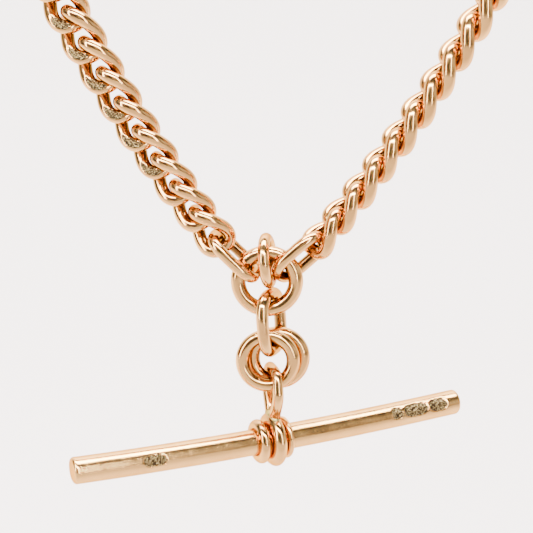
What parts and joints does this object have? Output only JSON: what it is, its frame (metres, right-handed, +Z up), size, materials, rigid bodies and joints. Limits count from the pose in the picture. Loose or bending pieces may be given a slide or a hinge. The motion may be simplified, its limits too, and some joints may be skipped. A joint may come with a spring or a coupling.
{
  "type": "pocket watch chain",
  "caption": "Double curb-link pocket watch chain with swivel clasps, hung as a V, meeting at a ring with a drop that carries a T-bar.",
  "frame": {"origin": "halfway between the centres of the two clasps' eyes, which are held up", "axes": "+Z up, +X to the right leg as seen from the front, -Y to the front; the legs hang in the plane Y = 0"},
  "size_m": [0.0616, 0.0164, 0.0623],
  "materials": {
    "curb_links": "polished rose gold",
    "rings": "polished rose gold",
    "tbar": "polished rose gold, finely scratched",
    "tbar_fittings": "polished rose gold",
    "bail": "rose gold with a paler solder seam",
    "clasps": "polished rose gold",
    "pins": "rose gold, rivet ends"
  },
  "bodies": {
    "clasp_eyes": {"left_swivel_eye": "clasps", "right_swivel_eye": "clasps"},
    "left_link_12": {"left_curb_link_12": "curb_links"},
    "left_link_11": {"left_curb_link_11": "curb_links"},
    "left_link_10": {"left_curb_link_10": "curb_links"},
    "left_link_09": {"left_curb_link_09": "curb_links"},
    "left_link_08": {"left_curb_link_08": "curb_links"},
    "left_link_07": {"left_curb_link_07": "curb_links"},
    "left_link_06": {"left_curb_link_06": "curb_links"},
    "left_link_05": {"left_curb_link_05": "curb_links"},
    "left_link_04": {"left_curb_link_04": "curb_links"},
    "left_link_03": {"left_curb_link_03": "curb_links"},
    "left_link_02": {"left_curb_link_02": "curb_links"},
    "left_link_01": {"left_curb_link_01": "curb_links"},
    "left_end": {"left_end_link": "rings"},
    "right_link_12": {"right_curb_link_12": "curb_links"},
    "right_link_11": {"right_curb_link_11": "curb_links"},
    "right_link_10": {"right_curb_link_10": "curb_links"},
    "right_link_09": {"right_curb_link_09": "curb_links"},
    "right_link_08": {"right_curb_link_08": "curb_links"},
    "right_link_07": {"right_curb_link_07": "curb_links"},
    "right_link_06": {"right_curb_link_06": "curb_links"},
    "right_link_05": {"right_curb_link_05": "curb_links"},
    "right_link_04": {"right_curb_link_04": "curb_links"},
    "right_link_03": {"right_curb_link_03": "curb_links"},
    "right_link_02": {"right_curb_link_02": "curb_links"},
    "right_link_01": {"right_curb_link_01": "curb_links"},
    "right_end": {"right_end_link": "rings"},
    "centre": {"centre_ring": "rings"},
    "loose": {"top_loose_ring": "rings"},
    "drop": {"drop_link": "rings"},
    "lower_front": {"lower_ring_front": "rings"},
    "lower_back": {"lower_ring_back": "rings"},
    "bail": {"tbar_bail": "bail", "tbar_band": "tbar_fittings"},
    "tbar": {"tbar_bar": "tbar", "tbar_collar_left": "tbar_fittings", "tbar_collar_right": "tbar_fittings"},
    "left_hook": {"left_swivel_hook": "clasps", "left_gate_pin": "pins"},
    "left_gate": {"left_swivel_gate": "clasps"},
    "right_hook": {"right_swivel_hook": "clasps", "right_gate_pin": "pins"},
    "right_gate": {"right_swivel_gate": "clasps"}
  },
  "joints": [
    {"name": "left_link_12_hinge", "type": "hinge", "parent": "clasp_eyes", "child": "left_link_12", "pos_m": [-0.02105, 0, -0.00122], "axis": [1, 0, 0], "range_deg": [-3, 3]},
    {"name": "left_link_11_hinge", "type": "hinge", "parent": "left_link_12", "child": "left_link_11", "pos_m": [-0.01987, 0, -0.00376], "axis": [1, 0, 0], "range_deg": [-5, 5]},
    {"name": "left_link_10_hinge", "type": "hinge", "parent": "left_link_11", "child": "left_link_10", "pos_m": [-0.01866, 0, -0.00625], "axis": [1, 0, 0], "range_deg": [-5, 5]},
    {"name": "left_link_09_hinge", "type": "hinge", "parent": "left_link_10", "child": "left_link_09", "pos_m": [-0.01739, 0, -0.0087], "axis": [1, 0, 0], "range_deg": [-5, 5]},
    {"name": "left_link_08_hinge", "type": "hinge", "parent": "left_link_09", "child": "left_link_08", "pos_m": [-0.01609, 0, -0.01112], "axis": [1, 0, 0], "range_deg": [-5, 5]},
    {"name": "left_link_07_hinge", "type": "hinge", "parent": "left_link_08", "child": "left_link_07", "pos_m": [-0.01473, 0, -0.01351], "axis": [1, 0, 0], "range_deg": [-5, 5]},
    {"name": "left_link_06_hinge", "type": "hinge", "parent": "left_link_07", "child": "left_link_06", "pos_m": [-0.01333, 0, -0.01585], "axis": [1, 0, 0], "range_deg": [-5, 5]},
    {"name": "left_link_05_hinge", "type": "hinge", "parent": "left_link_06", "child": "left_link_05", "pos_m": [-0.01189, 0, -0.01816], "axis": [1, 0, 0], "range_deg": [-5, 5]},
    {"name": "left_link_04_hinge", "type": "hinge", "parent": "left_link_05", "child": "left_link_04", "pos_m": [-0.01041, 0, -0.02042], "axis": [1, 0, 0], "range_deg": [-5, 5]},
    {"name": "left_link_03_hinge", "type": "hinge", "parent": "left_link_04", "child": "left_link_03", "pos_m": [-0.00889, 0, -0.02265], "axis": [1, 0, 0], "range_deg": [-5, 5]},
    {"name": "left_link_02_hinge", "type": "hinge", "parent": "left_link_03", "child": "left_link_02", "pos_m": [-0.00732, 0, -0.02483], "axis": [1, 0, 0], "range_deg": [-5, 5]},
    {"name": "left_link_01_hinge", "type": "hinge", "parent": "left_link_02", "child": "left_link_01", "pos_m": [-0.00572, 0, -0.02697], "axis": [1, 0, 0], "range_deg": [-5, 5]},
    {"name": "left_end_hinge", "type": "hinge", "parent": "left_link_01", "child": "left_end", "pos_m": [-0.00406, 0, -0.02907], "axis": [1, 0, 0], "range_deg": [-5, 5]},
    {"name": "right_link_12_hinge", "type": "hinge", "parent": "clasp_eyes", "child": "right_link_12", "pos_m": [0.02105, 0, -0.00122], "axis": [1, 0, 0], "range_deg": [-3, 3]},
    {"name": "right_link_11_hinge", "type": "hinge", "parent": "right_link_12", "child": "right_link_11", "pos_m": [0.01987, 0, -0.00376], "axis": [1, 0, 0], "range_deg": [-5, 5]},
    {"name": "right_link_10_hinge", "type": "hinge", "parent": "right_link_11", "child": "right_link_10", "pos_m": [0.01866, 0, -0.00625], "axis": [1, 0, 0], "range_deg": [-5, 5]},
    {"name": "right_link_09_hinge", "type": "hinge", "parent": "right_link_10", "child": "right_link_09", "pos_m": [0.01739, 0, -0.0087], "axis": [1, 0, 0], "range_deg": [-5, 5]},
    {"name": "right_link_08_hinge", "type": "hinge", "parent": "right_link_09", "child": "right_link_08", "pos_m": [0.01609, 0, -0.01112], "axis": [1, 0, 0], "range_deg": [-5, 5]},
    {"name": "right_link_07_hinge", "type": "hinge", "parent": "right_link_08", "child": "right_link_07", "pos_m": [0.01473, 0, -0.01351], "axis": [1, 0, 0], "range_deg": [-5, 5]},
    {"name": "right_link_06_hinge", "type": "hinge", "parent": "right_link_07", "child": "right_link_06", "pos_m": [0.01333, 0, -0.01585], "axis": [1, 0, 0], "range_deg": [-5, 5]},
    {"name": "right_link_05_hinge", "type": "hinge", "parent": "right_link_06", "child": "right_link_05", "pos_m": [0.01189, 0, -0.01816], "axis": [1, 0, 0], "range_deg": [-5, 5]},
    {"name": "right_link_04_hinge", "type": "hinge", "parent": "right_link_05", "child": "right_link_04", "pos_m": [0.01041, 0, -0.02042], "axis": [1, 0, 0], "range_deg": [-5, 5]},
    {"name": "right_link_03_hinge", "type": "hinge", "parent": "right_link_04", "child": "right_link_03", "pos_m": [0.00889, 0, -0.02265], "axis": [1, 0, 0], "range_deg": [-5, 5]},
    {"name": "right_link_02_hinge", "type": "hinge", "parent": "right_link_03", "child": "right_link_02", "pos_m": [0.00732, 0, -0.02483], "axis": [1, 0, 0], "range_deg": [-5, 5]},
    {"name": "right_link_01_hinge", "type": "hinge", "parent": "right_link_02", "child": "right_link_01", "pos_m": [0.00572, 0, -0.02697], "axis": [1, 0, 0], "range_deg": [-5, 5]},
    {"name": "right_end_hinge", "type": "hinge", "parent": "right_link_01", "child": "right_end", "pos_m": [0.00406, 0, -0.02907], "axis": [1, 0, 0], "range_deg": [-5, 5]},
    {"name": "centre_ring_hinge", "type": "hinge", "parent": "left_end", "child": "centre", "pos_m": [0, 0, -0.0309], "axis": [1, 0, 0], "range_deg": [-1.5, 1.5]},
    {"name": "loose_ring_hinge", "type": "hinge", "parent": "centre", "child": "loose", "pos_m": [0, 0, -0.02988], "axis": [1, 0, 0], "range_deg": [-3, 8]},
    {"name": "drop_link_hinge", "type": "hinge", "parent": "centre", "child": "drop", "pos_m": [0, 0, -0.03468], "axis": [1, 0, 0], "range_deg": [-12, 12]},
    {"name": "lower_ring_front_hinge", "type": "hinge", "parent": "drop", "child": "lower_front", "pos_m": [0.00069, 0, -0.0381], "axis": [0.342, 0.9397, 0], "range_deg": [-15, 15]},
    {"name": "lower_ring_back_hinge", "type": "hinge", "parent": "drop", "child": "lower_back", "pos_m": [0.00069, 0, -0.0381], "axis": [0.342, 0.9397, 0], "range_deg": [-15, 15]},
    {"name": "bail_hinge", "type": "hinge", "parent": "lower_front", "child": "bail", "pos_m": [0.00064, 0, -0.04113], "axis": [0.9945, -0.1045, 0], "range_deg": [-10, 4]},
    {"name": "tbar_spin", "type": "hinge", "parent": "bail", "child": "tbar", "pos_m": [0.001, 0, -0.04603], "axis": [0.9121, 0.4061, 0.0558], "continuous": true},
    {"name": "left_swivel", "type": "hinge", "parent": "clasp_eyes", "child": "left_hook", "pos_m": [-0.02163, 0, 0], "axis": [-0.4289, 0, 0.9033], "continuous": true},
    {"name": "left_gate_hinge", "type": "hinge", "parent": "left_hook", "child": "left_gate", "pos_m": [-0.02512, 0, 0.00432], "axis": [0, 1, 0], "range_deg": [0, 32], "stiffness_Nm_per_rad": 0.0001},
    {"name": "right_swivel", "type": "hinge", "parent": "clasp_eyes", "child": "right_hook", "pos_m": [0.02163, 0, 0], "axis": [0.4289, 0, 0.9033], "continuous": true},
    {"name": "right_gate_hinge", "type": "hinge", "parent": "right_hook", "child": "right_gate", "pos_m": [0.02512, 0, 0.00432], "axis": [0, -1, 0], "range_deg": [0, 32], "stiffness_Nm_per_rad": 0.0001}
  ],
  "couplings": [
    {"joint": "right_link_01_hinge", "follows": "left_link_01_hinge", "ratio": 1},
    {"joint": "right_link_02_hinge", "follows": "left_link_02_hinge", "ratio": 1},
    {"joint": "right_link_03_hinge", "follows": "left_link_03_hinge", "ratio": 1},
    {"joint": "right_link_04_hinge", "follows": "left_link_04_hinge", "ratio": 1},
    {"joint": "right_link_05_hinge", "follows": "left_link_05_hinge", "ratio": 1},
    {"joint": "right_link_06_hinge", "follows": "left_link_06_hinge", "ratio": 1},
    {"joint": "right_link_07_hinge", "follows": "left_link_07_hinge", "ratio": 1},
    {"joint": "right_link_08_hinge", "follows": "left_link_08_hinge", "ratio": 1},
    {"joint": "right_link_09_hinge", "follows": "left_link_09_hinge", "ratio": 1},
    {"joint": "right_link_10_hinge", "follows": "left_link_10_hinge", "ratio": 1},
    {"joint": "right_link_11_hinge", "follows": "left_link_11_hinge", "ratio": 1},
    {"joint": "right_link_12_hinge", "follows": "left_link_12_hinge", "ratio": 1},
    {"joint": "right_end_hinge", "follows": "left_end_hinge", "ratio": 1},
    {"joint": "lower_ring_back_hinge", "follows": "lower_ring_front_hinge", "ratio": 1}
  ]
}
